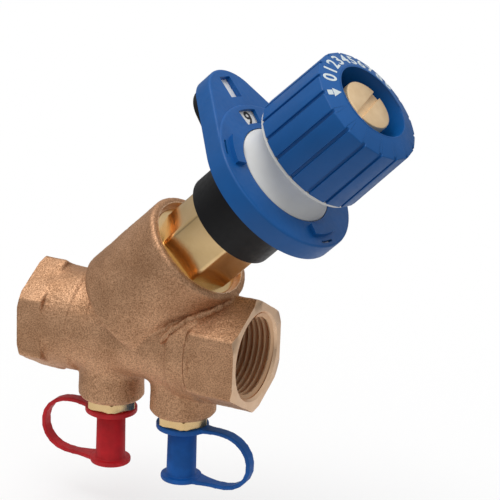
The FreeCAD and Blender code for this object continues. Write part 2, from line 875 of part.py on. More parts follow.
def strap():
    """Ring on the nipple and the flat band that loops from it to the cap's tongue."""
    ring_middle = (ring_top + ring_low) / 2
    cap_middle = cap_low + cap_flange_thickness / 2
    bend = (ring_middle - cap_middle) / 2
    bend_centre = strap_reach - bend
    half = strap_thickness / 2
    tongue_end = cap_flange_radius + cap_tongue_length - seated
    start = (strap_ring_radius + strap_ring_bore) / 2
    middle = (ring_middle + cap_middle) / 2

    def half_loop(radius):
        return [
            Vector(bend_centre, -strap_width / 2, middle + radius),
            Vector(bend_centre + radius, -strap_width / 2, middle),
            Vector(bend_centre, -strap_width / 2, middle - radius),
        ]

    outer = half_loop(bend + half)
    inner = half_loop(bend - half)
    ring_outer = Vector(start, -strap_width / 2, ring_middle + half)
    ring_inner = Vector(start, -strap_width / 2, ring_middle - half)
    cap_outer = Vector(tongue_end, -strap_width / 2, cap_middle - half)
    cap_inner = Vector(tongue_end, -strap_width / 2, cap_middle + half)
    edges = [
        Part.LineSegment(ring_outer, outer[0]).toShape(),
        Part.Arc(*outer).toShape(),
        Part.LineSegment(outer[2], cap_outer).toShape(),
        Part.LineSegment(cap_outer, cap_inner).toShape(),
        Part.LineSegment(cap_inner, inner[2]).toShape(),
        Part.Arc(inner[2], inner[1], inner[0]).toShape(),
        Part.LineSegment(inner[0], ring_inner).toShape(),
        Part.LineSegment(ring_inner, ring_outer).toShape(),
    ]
    band = Part.Face(Part.Wire(edges)).extrude(Vector(0, strap_width, 0))
    ring = tube(strap_ring_radius, strap_ring_bore, ring_low, ring_top - seated)
    return ring.fuse(band).removeSplitter()


def test_point_set(colour, place):
    """The pieces of one test point. The inlet's strap loops upstream and the outlet's downstream."""
    facing = 180 if colour == "red" else 0
    pieces = {
        "test_point": test_point(),
        "test_point_gasket": test_point_gasket(),
        "test_point_seal": test_point_seal(),
        "strap": strap(),
        "cap": cap(),
    }
    return {
        colour + "_" + name: turned(shape, facing).translated(Vector(place, 0, 0))
        for name, shape in pieces.items()
    }


stack_parts = {
    "bonnet": bonnet(),
    "bonnet_seal": bonnet_seal(),
    "spindle": spindle(),
    "spindle_o_rings": spindle_o_rings(),
    "valve_disc": valve_disc(),
    "disc_seal": disc_seal(),
    "throttle_cone": throttle_cone(),
    "drain_screw": drain_screw(),
    "drain_seal": drain_seal(),
    "base_sleeve": base_sleeve(),
    "indicator_housing": indicator_housing(),
    "number_dial": number_dial(),
    "counter_carrier": counter_carrier(),
    "counter_pinion": counter_pinion(),
    "handwheel": handwheel(),
    "handwheel_clip": handwheel_clip(),
}
parts = {"valve_body": valve_body()}
for name, shape in stack_parts.items():
    parts[name] = placed(shape, along_stack)
for colour, place in test_places().items():
    parts.update(test_point_set(colour, place))

for name, shape in parts.items():
    shape.exportStep(os.path.join("parts", name + ".step"))
    print(name, len(shape.Solids), shape.isValid(), round(shape.Volume, 1))
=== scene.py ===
import json
import math

import bpy
from mathutils import Matrix, Vector


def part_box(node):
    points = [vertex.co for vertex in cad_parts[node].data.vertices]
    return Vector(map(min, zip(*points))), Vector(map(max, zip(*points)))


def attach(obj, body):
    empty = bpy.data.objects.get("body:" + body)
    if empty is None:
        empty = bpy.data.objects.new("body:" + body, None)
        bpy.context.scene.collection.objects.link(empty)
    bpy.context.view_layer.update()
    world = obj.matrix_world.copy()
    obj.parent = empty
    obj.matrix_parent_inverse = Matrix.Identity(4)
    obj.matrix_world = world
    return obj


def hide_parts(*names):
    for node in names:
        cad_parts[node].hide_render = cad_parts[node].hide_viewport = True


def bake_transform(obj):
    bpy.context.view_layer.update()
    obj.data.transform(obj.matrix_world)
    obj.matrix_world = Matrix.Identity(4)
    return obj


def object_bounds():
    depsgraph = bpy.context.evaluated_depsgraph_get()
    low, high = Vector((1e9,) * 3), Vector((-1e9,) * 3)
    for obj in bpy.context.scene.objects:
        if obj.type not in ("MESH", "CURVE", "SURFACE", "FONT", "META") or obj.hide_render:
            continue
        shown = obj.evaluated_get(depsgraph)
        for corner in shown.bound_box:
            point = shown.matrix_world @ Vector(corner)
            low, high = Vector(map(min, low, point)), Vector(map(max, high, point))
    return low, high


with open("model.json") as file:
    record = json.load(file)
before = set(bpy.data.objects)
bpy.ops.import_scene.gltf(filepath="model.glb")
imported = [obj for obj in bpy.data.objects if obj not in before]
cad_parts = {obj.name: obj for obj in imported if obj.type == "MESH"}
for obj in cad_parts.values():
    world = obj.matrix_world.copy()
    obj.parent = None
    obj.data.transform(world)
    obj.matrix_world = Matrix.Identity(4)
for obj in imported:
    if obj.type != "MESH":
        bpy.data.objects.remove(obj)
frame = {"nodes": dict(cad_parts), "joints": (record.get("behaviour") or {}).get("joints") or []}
cad_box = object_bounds()


# Valve body: one sand casting in bronze with two hexagon ports, a slanted barrel and two bosses below.
# The ports, the well and the boss ends are cut on a machine afterwards. The rest keeps the grain of the sand.
# Pieces are modelled in millimetres about Z, moved to their place and then made metres.
mm = 0.001
body_length = 75
port_flats = 32
inlet_hex_length = 8.5
outlet_hex_length = 16
port_edge_round = 0.9
neck_rings = [(15.2, 7.0), (13.9, 36.0), (13.9, 40.0), (16.6, 54.0), (16.6, 60.0)]
inlet_collar_rings = [(16.1, 7.0), (16.0, 16.4), (15.2, 17.6), (14.95, 22.4), (14.2, 23.6)]
outlet_collar_rings = [(15.4, 51.2), (16.9, 52.4), (17.1, 60.0)]
barrel_radius = 18.6
barrel_low = 10.5
barrel_end = 44
barrel_foot_round = 2.0
barrel_mouth_round = 1.5
boss_rings = [(10.3, -26.0), (10.3, -13.5), (14.0, -4.0)]
boss_end = -22.9
boss_edge_rings = [(9.56, -22.95), (12.6, -22.95), (12.6, -21.2), (10.92, -21.2)]
test_thread_radius = 6.58
test_thread_end = -14.9
sense_hole_radius = 1.5
port_mouth_radius = 14.0
port_bore_radius = 13.22
port_bore_depth = 14.5
port_face_radius = 17.1
passage_radius = 12
seat_radius = 9
seat_wall = 3
seat_level = 18
well_radius = 16.2
well_floor = 41.5
cutting_allowance = 2
coarse_voxel = 0.6
fine_voxel = 0.42
crease_rings = [(16.75, 58.7), (18.8, 58.0), (18.8, 59.4)]
crease_reach = 9.5
flash_radius = 1.5
flash_steps = 6
flash_route = [
    (50.6, -15.3, 5.6),
    (53.2, -14.1, 8.6),
    (55.6, -12.8, 10.4),
    (58.0, -11.2, 12.2),
    (61.1, -9.3, 13.5),
    (63.7, -7.3, 14.6),
    (65.9, -4.6, 15.7),
    (67.1, -1.0, 16.5),
]
cast_colour_dark = (0.44, 0.245, 0.135)
cast_colour_light = (0.76, 0.46, 0.275)
cut_bronze_colour = (0.84, 0.57, 0.37)

red_place = sum(corner.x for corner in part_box("red_test_point")) / 2 / mm
blue_place = sum(corner.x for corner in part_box("blue_test_point")) / 2 / mm
handwheel_turn = next(joint for joint in frame["joints"] if joint["name"] == "handwheel_turn")
stack_up = Vector(handwheel_turn["axis"]).normalized()
stack_front = Vector((0, -1, 0))
stack_side = stack_front.cross(stack_up)
stack_place = Matrix((stack_side, stack_front, stack_up)).transposed().to_4x4()
stack_place.translation = Vector(handwheel_turn["pos_m"]) / mm
to_stack = stack_place.inverted()
inlet_place = Matrix(((0, 0, 1, 0), (0, -1, 0, 0), (1, 0, 0, 0), (0, 0, 0, 1)))
outlet_place = inlet_place @ Matrix.Translation((0, 0, body_length)) @ Matrix.Rotation(math.pi, 4, "X")


def select_only(*pieces):
    bpy.ops.object.select_all(action="DESELECT")
    for piece in pieces:
        piece.select_set(True)
    bpy.context.view_layer.objects.active = pieces[0]


def edit(piece, select="SELECT"):
    select_only(piece)
    bpy.ops.object.mode_set(mode="EDIT")
    bpy.ops.mesh.select_all(action=select)


def edit_done():
    bpy.ops.object.mode_set(mode="OBJECT")


def seat(piece, place):
    """Moves a piece to its place and leaves its object at the origin."""
    piece.matrix_world = place
    select_only(piece)
    bpy.ops.object.transform_apply(location=True, rotation=True, scale=True)
    return piece


def to_metres(piece):
    return seat(piece, Matrix.Scale(mm, 4))


def rounded(radius, level, size, start, end, steps=5):
    """Rings of a rounded edge about a centre, from one angle to another in degrees."""
    angles = [math.radians(start + (end - start) * step / steps) for step in range(steps + 1)]
    return [(radius + size * math.cos(angle), level + size * math.sin(angle)) for angle in angles]


def turned(name, rings, segments=96, hollow=False):
    """Draws a circle up through (radius, level) rings, as a profile is turned on a lathe."""
    radius, level = rings[0]
    bpy.ops.object.select_all(action="DESELECT")
    bpy.ops.mesh.primitive_circle_add(vertices=segments, radius=radius)
    piece = bpy.context.object
    piece.name = name
    edit(piece)
    bpy.ops.transform.translate(value=(0, 0, level))
    for next_radius, next_level in rings[1:]:
        bpy.ops.mesh.extrude_edges_move(TRANSFORM_OT_translate={"value": (0, 0, next_level - level)})
        share = next_radius / radius
        bpy.ops.transform.resize(value=(share, share, 1), center_override=(0, 0, 0))
        radius, level = next_radius, next_level
    bpy.ops.mesh.select_all(action="DESELECT")
    bpy.ops.mesh.select_non_manifold()
    if hollow:
        bpy.ops.mesh.bridge_edge_loops()
    else:
        bpy.ops.mesh.fill_holes(sides=0)
    bpy.ops.mesh.select_all(action="SELECT")
    bpy.ops.mesh.normals_make_consistent(inside=False)
    edit_done()
    return piece


def prism(name, sides, apothem, low, high, apothem_high=None):
    """Bar on a regular polygon with its first corner on X, tapered where a second size is given."""
    to_corner = 1 / math.cos(math.pi / sides)
    bpy.ops.object.select_all(action="DESELECT")
    bpy.ops.mesh.primitive_cone_add(
        vertices=sides, radius1=apothem * to_corner, radius2=(apothem_high or apothem) * to_corner,
        depth=high - low, location=(0, 0, (low + high) / 2), rotation=(0, 0, math.pi / 2),
    )
    piece = bpy.context.object
    piece.name = name
    bpy.ops.object.transform_apply(location=True, rotation=True)
    return piece


def bar(name, size, middle, tilt=0.0, turn=0.0):
    """Straight bar about a middle on X, tilted about Y and then turned about Z."""
    bpy.ops.object.select_all(action="DESELECT")
    bpy.ops.mesh.primitive_cube_add(size=1)
    piece = bpy.context.object
    piece.name = name
    place = Matrix.Rotation(turn, 4, "Z") @ Matrix.Translation(middle) @ Matrix.Rotation(tilt, 4, "Y")
    return seat(piece, place @ Matrix.Diagonal((*size, 1)))


def apply_modifier(piece, kind, **settings):
    modifier = piece.modifiers.new(kind.title(), kind)
    for setting, value in settings.items():
        setattr(modifier, setting, value)
    select_only(piece)
    bpy.ops.object.modifier_apply(modifier=modifier.name)
    return piece


def combine(piece, tool, operation):
    apply_modifier(piece, "BOOLEAN", solver="MANIFOLD", operation=operation, object=tool)
    bpy.data.objects.remove(tool)
    return piece


def cut(piece, tool):
    return combine(piece, tool, "DIFFERENCE")


def fuse(piece, addition):
    return combine(piece, addition, "UNION")


def joined(name, pieces):
    select_only(*pieces)
    bpy.ops.object.join()
    pieces[0].name = name
    return pieces[0]


def smooth(piece, angle=35):
    select_only(piece)
    bpy.ops.object.shade_smooth_by_angle(angle=math.radians(angle))
    return piece


def coat(piece, material):
    piece.data.materials.clear()
    piece.data.materials.append(material)
    return piece


pattern = [seat(turned("neck", neck_rings), inlet_place)]
for boss_place in (red_place, blue_place):
    pattern.append(seat(turned("boss", boss_rings), Matrix.Translation((boss_place, 0, 0))))
casting = joined("casting", pattern)
apply_modifier(casting, "REMESH", mode="VOXEL", voxel_size=coarse_voxel)
apply_modifier(casting, "SMOOTH", factor=0.5, iterations=24)
for name, place, length in (
    ("inlet_hexagon", inlet_place, inlet_hex_length),
    ("outlet_hexagon", outlet_place, outlet_hex_length),
):
    hexagon = prism(name, 6, port_flats / 2, -cutting_allowance, length)
    apply_modifier(hexagon, "BEVEL", width=port_edge_round, segments=3, limit_method="ANGLE")
    fuse(casting, seat(hexagon, place))
fuse(casting, seat(turned("inlet_collar", inlet_collar_rings), inlet_place))
fuse(casting, seat(turned("outlet_collar", outlet_collar_rings), inlet_place))
barrel = turned(
    "barrel",
    rounded(barrel_radius - barrel_foot_round, barrel_low + barrel_foot_round, barrel_foot_round, -90, 0)
    + rounded(barrel_radius - barrel_mouth_round, barrel_end - barrel_mouth_round, barrel_mouth_round, 0, 90),
)
fuse(casting, seat(barrel, stack_place))
apply_modifier(casting, "REMESH", mode="VOXEL", voxel_size=fine_voxel)
apply_modifier(casting, "SMOOTH", factor=0.5, iterations=2)


def roughen(piece, lump, height):
    """Moves the skin in and out in lumps of that many millimetres, as the sand of the mould leaves it."""
    sand = bpy.data.textures.new("sand", "CLOUDS")
    sand.noise_scale = lump
    sand.noise_depth = 2
    apply_modifier(piece, "DISPLACE", texture=sand, texture_coords="LOCAL", strength=height, mid_level=0.5)


bpy.ops.object.select_all(action="DESELECT")
bpy.ops.mesh.primitive_circle_add(
    vertices=16, radius=flash_radius, fill_type="NGON", rotation=(0, math.pi / 2, 0)
)
flash = bpy.context.object
bpy.ops.object.transform_apply(rotation=True)
edit(flash)
bpy.ops.transform.translate(value=flash_route[0])
for before, after in zip(flash_route, flash_route[1:]):
    step = (Vector(after) - Vector(before)) / flash_steps
    for _ in range(flash_steps):
        bpy.ops.mesh.extrude_region_move(TRANSFORM_OT_translate={"value": step})
bpy.ops.mesh.select_all(action="SELECT")
bpy.ops.mesh.normals_make_consistent(inside=False)
edit_done()
roughen(flash, 0.9, 0.9)
roughen(casting, 7.0, 0.45)
crease = seat(turned("crease", crease_rings, hollow=True), inlet_place)
for side in (-1, 1):
    edit(crease)
    bpy.ops.mesh.bisect(
        plane_co=(0, 0, side * crease_reach), plane_no=(0, 0, side), use_fill=True, clear_outer=True
    )
    edit_done()
cut(casting, crease)
fuse(casting, flash)
roughen(casting, 0.9, 0.16)

for place in (inlet_place, outlet_place):
    port_tool = turned(
        "port_tool",
        [
            (30, -6), (30, 7.45), (port_face_radius, 0), (port_mouth_radius, 0),
            (port_bore_radius, 0.8), (port_bore_radius, port_bore_depth),
        ],
    )
    cut(casting, seat(port_tool, place))
stack_tool = turned(
    "stack_tool",
    [
        (seat_radius, -4.5), (seat_radius, seat_level), (10.5, seat_level), (10.5, seat_level - 1),
        (13.6, seat_level - 1), (13.6, 34), (15, 34), (15, well_floor), (well_radius, well_floor),
        (well_radius, barrel_end + 3),
    ],
)
cut(casting, seat(stack_tool, stack_place))
cut(casting, seat(turned("inlet_core", [(passage_radius, 13.5), (passage_radius, 24.3)]), inlet_place))
outlet_core = seat(turned("outlet_core", [(passage_radius, 23.5), (passage_radius, 61.5)]), inlet_place)
edit(outlet_core)
bpy.ops.mesh.bisect(
    plane_co=stack_place.translation - (seat_radius + seat_wall) * stack_side,
    plane_no=stack_side, use_fill=True, clear_outer=True,
)
edit_done()
cut(casting, outlet_core)
for boss_place in (red_place, blue_place):
    boss_tool = turned(
        "boss_tool",
        [
            (12, -28), (12, boss_end), (test_thread_radius, boss_end), (test_thread_radius, test_thread_end),
            (sense_hole_radius, test_thread_end), (sense_hole_radius, -6),
        ],
    )
    edge_tool = turned("edge_tool", boss_edge_rings, hollow=True)
    for tool in (boss_tool, edge_tool):
        cut(casting, seat(tool, Matrix.Translation((boss_place, 0, 0))))
smooth(casting, 40)


def new_finish(name, colour, roughness, metallic=0.0, shine=0.5):
    material = bpy.data.materials.new(name)
    material.use_nodes = True
    shader = material.node_tree.nodes["Principled BSDF"]
    shader.inputs["Base Color"].default_value = (*colour, 1)
    shader.inputs["Roughness"].default_value = roughness
    shader.inputs["Metallic"].default_value = metallic
    shader.inputs["Specular IOR Level"].default_value = shine
    return material


def speckle(material, size, detail=3.0):
    """Noise on the piece's own coordinates, with blobs of about that many millimetres."""
    nodes = material.node_tree.nodes
    noise = nodes.new("ShaderNodeTexNoise")
    noise.inputs["Scale"].default_value = 1 / (size * mm)
    noise.inputs["Detail"].default_value = detail
    place = nodes.new("ShaderNodeTexCoord")
    material.node_tree.links.new(place.outputs["Object"], noise.inputs["Vector"])
    return noise.outputs["Fac"]


def colour_by(material, source, dark, light, low=0.35, high=0.65):
    ramp = material.node_tree.nodes.new("ShaderNodeValToRGB")
    ramp.color_ramp.elements[0].position = low
    ramp.color_ramp.elements[0].color = (*dark, 1)
    ramp.color_ramp.elements[1].position = high
    ramp.color_ramp.elements[1].color = (*light, 1)
    material.node_tree.links.new(source, ramp.inputs["Fac"])
    return ramp.outputs["Color"]


def multiplied(material, first, second):
    mix = material.node_tree.nodes.new("ShaderNodeMix")
    mix.data_type = "RGBA"
    mix.blend_type = "MULTIPLY"
    mix.inputs["Factor"].default_value = 1.0
    # The mix node's sockets for colour have these numbers
    material.node_tree.links.new(first, mix.inputs[6])
    material.node_tree.links.new(second, mix.inputs[7])
    return mix.outputs[2]


def set_from(material, socket, source):
    shader = material.node_tree.nodes["Principled BSDF"]
    material.node_tree.links.new(source, shader.inputs[socket])


def roughness_by(material, source, low, high):
    set_from(material, "Roughness", colour_by(material, source, (low,) * 3, (high,) * 3, 0.3, 0.7))


def raised_by(material, *layers):
    """Bump from (height, depth in millimetres) layers, one on another."""
    nodes, links = material.node_tree.nodes, material.node_tree.links
    normal = None
    for height, depth in layers:
        bump = nodes.new("ShaderNodeBump")
        bump.inputs["Strength"].default_value = 1.0
        bump.inputs["Distance"].default_value = depth * mm
        links.new(height, bump.inputs["Height"])
        if normal is not None:
            links.new(normal, bump.inputs["Normal"])
        normal = bump.outputs["Normal"]
    set_from(material, "Normal", normal)


cast_bronze = new_finish("cast_bronze", cast_colour_light, 0.5, 1.0)
sand_grain = speckle(cast_bronze, 0.42, 3)
grain_colour = colour_by(cast_bronze, sand_grain, cast_colour_dark, cast_colour_light, 0.32, 0.61)
cast_patches = speckle(cast_bronze, 10, 3)
patch_colour = colour_by(cast_bronze, cast_patches, (0.80, 0.76, 0.72), (1.0, 1.0, 1.0), 0.35, 0.62)
set_from(cast_bronze, "Base Color", multiplied(cast_bronze, grain_colour, patch_colour))
roughness_by(cast_bronze, sand_grain, 0.66, 0.50)
raised_by(cast_bronze, (speckle(cast_bronze, 1.1, 2), 0.14), (sand_grain, 0.12))


def tool_marks(material, spacing, direction, depth):
    """Fine rings left by a turning tool about an axis of the piece's own coordinates."""
    nodes, links = material.node_tree.nodes, material.node_tree.links
    wave = nodes.new("ShaderNodeTexWave")
    wave.wave_type = "RINGS"
    wave.rings_direction = direction
    scale_for_one_ring = 0.314
    wave.inputs["Scale"].default_value = scale_for_one_ring / (spacing * mm)
    wave.inputs["Distortion"].default_value = 0.6
    wave.inputs["Detail"].default_value = 1.0
    place = nodes.new("ShaderNodeTexCoord")
    links.new(place.outputs["Object"], wave.inputs["Vector"])
    return wave.outputs["Fac"], depth


cut_bronze = new_finish("cut_bronze", cut_bronze_colour, 0.3, 1.0)
roughness_by(cut_bronze, speckle(cut_bronze, 2), 0.26, 0.40)
raised_by(cut_bronze, tool_marks(cut_bronze, 0.25, "X", 0.004))

coat(casting, cast_bronze)
casting.data.materials.append(cut_bronze)
for face in casting.data.polygons:
    spot = face.center
    from_pipe = math.hypot(spot.y, spot.z)
    from_end = min(spot.x, body_length - spot.x)
    along = to_stack @ spot
    on_end_face = abs(from_end) < 0.02
    in_port = from_pipe < port_mouth_radius + 0.1 and from_end < port_bore_depth + 0.1
    on_corner_cut = from_pipe > port_face_radius - 0.1 and abs(face.normal.x) > 0.6 and from_end < 1
    in_well = math.hypot(along.x, along.y) < well_radius + 0.2 and along.z > 30
    on_boss_end = abs(spot.z - boss_end) < 0.02
    if on_end_face or in_port or on_corner_cut or in_well or on_boss_end:
        face.material_index = 1
to_metres(casting)
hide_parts("valve_body")
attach(casting, "valve")


# Port threads: the parallel pipe thread that is tapped into each end of the casting.
# Each is one ridge wound along the bore from its mouth, with the crest cut flat.
thread_pitch = 1.814
thread_root = 13.4
thread_crest = 12.15
thread_turns = 7
thread_start = 0.35
ridge_half = 0.86
crest_half = 0.2

threads = []
for place in (inlet_place, outlet_place):
    bpy.ops.object.select_all(action="DESELECT")
    bpy.ops.mesh.primitive_plane_add(size=1)
    ridge = bpy.context.object
    ridge_section = [
        (thread_root, -ridge_half), (thread_crest, -crest_half),
        (thread_root, ridge_half), (thread_crest, crest_half),
    ]
    for corner, (radius, level) in zip(ridge.data.vertices, ridge_section):
        corner.co = (radius, 0, thread_start + ridge_half + level)
    edit(ridge)
    bpy.ops.mesh.delete(type="ONLY_FACE")
    edit_done()
    apply_modifier(
        ridge, "SCREW", axis="Z", angle=2 * math.pi, screw_offset=thread_pitch,
        iterations=thread_turns, steps=80, render_steps=80,
    )
    edit(ridge, "DESELECT")
    bpy.ops.mesh.select_non_manifold()
    bpy.ops.mesh.fill_holes(sides=4)
    bpy.ops.mesh.select_all(action="SELECT")
    bpy.ops.mesh.normals_make_consistent(inside=False)
    edit_done()
    threads.append(seat(ridge, place))
port_threads = joined("port_threads", threads)
smooth(port_threads, 30)
# The thread is all one cut bronze. Its crests are painted paler and glossier as a painted highlight, and its
# flanks darker as painted shade.
flank_painted_shade = new_finish("flank_painted_shade", (0.74, 0.46, 0.27), 0.36, 0.8)
roughness_by(flank_painted_shade, speckle(flank_painted_shade, 1), 0.32, 0.5)
crest_painted_highlight = new_finish("crest_painted_highlight", (1.0, 0.72, 0.46), 0.2, 0.4)
roughness_by(crest_painted_highlight, speckle(crest_painted_highlight, 1), 0.15, 0.28)
coat(port_threads, crest_painted_highlight)
port_threads.data.materials.append(flank_painted_shade)
for face in port_threads.data.polygons:
    if math.hypot(face.center.y, face.center.z) > (thread_crest + thread_root) / 2 - 0.1:
        face.material_index = 1
to_metres(port_threads)
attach(port_threads, "valve")


# Test points: turned brass fittings screwed into the bosses on a flat gasket.
# A needle goes in through the nipple, which a slit rubber plug inside it closes.
test_hex_flats = 14.5
test_hex_turn = 8.2
test_hex_low = -26.5
test_hex_high = -23.4
test_edge_round = 0.15
nipple_radius = 3.45
nipple_end = -42.1
test_stem_radius = 6.4
needle_radius = 1.4
plug_radius = 2.25
plug_low = nipple_end + 1
plug_high = nipple_end + 5.6
brass_dark = (0.78, 0.54, 0.26)
brass_light = (0.86, 0.61, 0.32)

brass = new_finish("brass", brass_light, 0.25, 1.0)
set_from(brass, "Base Color", colour_by(brass, speckle(brass, 6), brass_dark, brass_light, 0.3, 0.7))
roughness_by(brass, speckle(brass, 1.2), 0.18, 0.26)
raised_by(brass, (speckle(brass, 2.5, 2), 0.004))



def trim(piece, outline):
    return combine(piece, outline, "INTERSECT")


def finished(piece, place, material, angle=30):
    """Puts a piece in its place, shades it by that angle, coats it and makes its millimetres metres."""
    seat(piece, place)
    smooth(piece, angle)
    coat(piece, material)
    return to_metres(piece)


for colour, place in (("red", red_place), ("blue", blue_place)):
    test_point = prism(colour + "_test_fitting", 6, test_hex_flats / 2, test_hex_low, test_hex_high)
    apply_modifier(test_point, "BEVEL", width=test_edge_round, segments=2, limit_method="ANGLE")
    corners_off = turned(
        "corners_off",
        [
            (test_hex_turn - 0.7, test_hex_low - 0.1),
            (test_hex_turn + 0.2, test_hex_low + 0.5),
            (test_hex_turn + 0.2, test_hex_high - 0.5),
            (test_hex_turn - 0.7, test_hex_high + 0.1),
        ],
    )
    trim(test_point, corners_off)
    nipple = turned(
        "nipple",
        [
            (nipple_radius - 0.3, nipple_end),
            (nipple_radius, nipple_end + 0.3),
            (nipple_radius, test_hex_low + 1),
            (test_stem_radius, test_hex_low + 1),
            (test_stem_radius, -15.5),
        ],
        64,
    )
    fuse(test_point, nipple)
    needle_way = turned(
        "needle_way",
        [
            (needle_radius, nipple_end - 1), (needle_radius, plug_low), (plug_radius, plug_low),
            (plug_radius, plug_high), (needle_radius, plug_high), (needle_radius, -14),
        ],
        48,
    )
    cut(test_point, needle_way)
    finished(test_point, Matrix.Translation((place, 0, 0)), brass)
    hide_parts(colour + "_test_point")
    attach(test_point, "valve")

gasket_fibre = new_finish("gasket_fibre", (0.30, 0.21, 0.14), 0.75)
raised_by(gasket_fibre, (speckle(gasket_fibre, 0.4), 0.03))
black_rubber = new_finish("black_rubber", (0.018, 0.018, 0.02), 0.55)
roughness_by(black_rubber, speckle(black_rubber, 1), 0.45, 0.65)
raised_by(black_rubber, (speckle(black_rubber, 0.35), 0.01))


def dress(node, material):
    """A CAD piece that keeps its own mesh takes this finish."""
    coat(frame["nodes"][node], material)


for colour in ("red", "blue"):
    dress(colour + "_test_point_gasket", gasket_fibre)
    dress(colour + "_test_point_seal", black_rubber)


# Caps and straps: one soft moulding for each test point, red upstream and blue downstream.
# A ring sits on the nipple, a flat band loops from it to the flange, and the cap pushes over the nipple.
ring_top = -26.55
ring_low = -28.3
ring_radius = 8.2
ring_bore = 3.8
cap_top = -28.35
cap_low = -45.35
cap_radius_top = 4.5
cap_radius_low = 4.65
cap_bore = 3.55
flange_radius = 6.4
flange_height = 1.5
band_thickness = 1.3
strap_voxel = 0.22
# Distance from the nipple's axis, level and width along the band
band_route = [
    (5.0, -27.42, 6.4), (7.6, -27.42, 5.4), (9.6, -27.35, 4.3), (12.0, -27.25, 3.7), (14.4, -27.30, 3.6),
    (17.0, -27.75, 3.6), (19.5, -28.85, 3.6), (21.6, -30.60, 3.6), (23.1, -32.90, 3.6), (23.75, -35.50, 3.6),
    (23.65, -38.10, 3.6), (22.7, -40.60, 3.6), (20.9, -42.70, 3.6), (18.5, -44.10, 3.6), (15.8, -44.75, 3.6),
    (13.0, -44.90, 3.6), (10.4, -44.85, 4.0), (8.2, -44.75, 5.0), (6.0, -44.65, 6.6), (4.0, -44.60, 7.4),
]
rubber_colours = {"red": (0.55, 0.010, 0.017), "blue": (0.002, 0.094, 0.38)}

for colour, place in (("red", red_place), ("blue", blue_place)):
    facing = math.pi if colour == "red" else 0.0
    set_place = Matrix.Translation((place, 0, 0)) @ Matrix.Rotation(facing, 4, "Z")
    tone = rubber_colours[colour]
    rubber = new_finish(colour + "_rubber", tone, 0.5, shine=0.3)
    darker = [0.86 * part for part in tone]
    lighter = [1.1 * part for part in tone]
    set_from(rubber, "Base Color", colour_by(rubber, speckle(rubber, 5), darker, lighter))
    roughness_by(rubber, speckle(rubber, 0.9), 0.42, 0.58)
    raised_by(rubber, (speckle(rubber, 0.28, 2), 0.008), (speckle(rubber, 4), 0.05))

    cap = turned(
        colour + "_soft_cap",
        [
            (0.2, nipple_end - 0.3),
            (cap_bore, nipple_end - 0.3),
            (cap_bore, cap_top - 0.3),
            (cap_bore + 0.25, cap_top),
            (cap_radius_top - 0.25, cap_top),
            (cap_radius_top, cap_top - 0.25),
            (cap_radius_low, cap_low + flange_height + 0.5),
            (cap_radius_low + 0.15, cap_low + flange_height + 0.15),
            (cap_radius_low + 0.5, cap_low + flange_height),
            (flange_radius - 0.4, cap_low + flange_height),
            (flange_radius - 0.1, cap_low + flange_height - 0.12),
            (flange_radius, cap_low + flange_height - 0.4),
            (flange_radius, cap_low + 0.4),
            (flange_radius - 0.12, cap_low + 0.1),
            (flange_radius - 0.4, cap_low),
            (0.2, cap_low),
        ],
    )
    finished(cap, set_place, rubber, 50)
    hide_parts(colour + "_cap")
    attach(cap, colour + "_cap")

    start_x, start_z, start_width = band_route[0]
    bpy.ops.object.select_all(action="DESELECT")
    bpy.ops.mesh.primitive_plane_add(size=1, rotation=(0, math.pi / 2, 0))
    strap = bpy.context.object
    strap.name = colour + "_soft_strap"
    bpy.ops.object.transform_apply(rotation=True)
    edit(strap)
    bpy.ops.transform.resize(value=(1, start_width, band_thickness), center_override=(0, 0, 0))
    bpy.ops.transform.translate(value=(start_x, 0, start_z))
    heading = 0.0
    width = start_width
    for before, after in zip(band_route, band_route[1:]):
        bpy.ops.mesh.extrude_region_move(
            TRANSFORM_OT_translate={"value": (after[0] - before[0], 0, after[1] - before[1])}
        )
        spot = (after[0], 0, after[1])
        ahead = band_route[min(band_route.index(after) + 1, len(band_route) - 1)]
        next_heading = math.atan2(ahead[1] - before[1], ahead[0] - before[0])
        turn = (next_heading - heading + math.pi) % (2 * math.pi) - math.pi
        bpy.ops.transform.rotate(value=turn, orient_axis="Y", center_override=spot)
        bpy.ops.transform.resize(value=(1, after[2] / width, 1), center_override=spot)
        heading = next_heading
        width = after[2]
    bpy.ops.mesh.select_all(action="SELECT")
    bpy.ops.mesh.normals_make_consistent(inside=False)
    edit_done()
    ring = turned(
        "strap_ring",
        [(ring_bore, ring_low), (ring_radius, ring_low), (ring_radius, ring_top), (ring_bore, ring_top)],
        hollow=True,
    )
    joined(strap.name, [strap, ring])
    apply_modifier(strap, "REMESH", mode="VOXEL", voxel_size=strap_voxel)
    apply_modifier(strap, "SMOOTH", factor=0.5, iterations=5)
    finished(strap, set_place, rubber, 60)
    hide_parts(colour + "_strap")
    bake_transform(strap)


# Bonnet: a brass turning with a collar that seats in the barrel's mouth and a hexagon for the spanner.
# Its thread and the O-ring under the collar are out of sight in the casting.
bonnet_hex_flats = 24
bonnet_hex_turn = 13.6
bonnet_hex_low = 41.6
bonnet_hex_top = 62
bonnet_edge_round = 0.12
bonnet_rings = [
    (14.8, 35.0), (14.9, 35.1), (14.9, 39.6), (13.05, 39.6), (13.05, 41.5), (15.3, 41.5), (15.3, 41.8),
    (15.1, 42.0), (11.7, 42.45), (11.7, 61.5), (8.9, 61.5), (8.9, 92.8), (8.4, 93.3),
]
spindle_bore_rings = [(6.05, 34), (6.05, 49.1), (4.85, 49.1), (4.85, 95)]
clip_low = 87.95
clip_high = 89.05

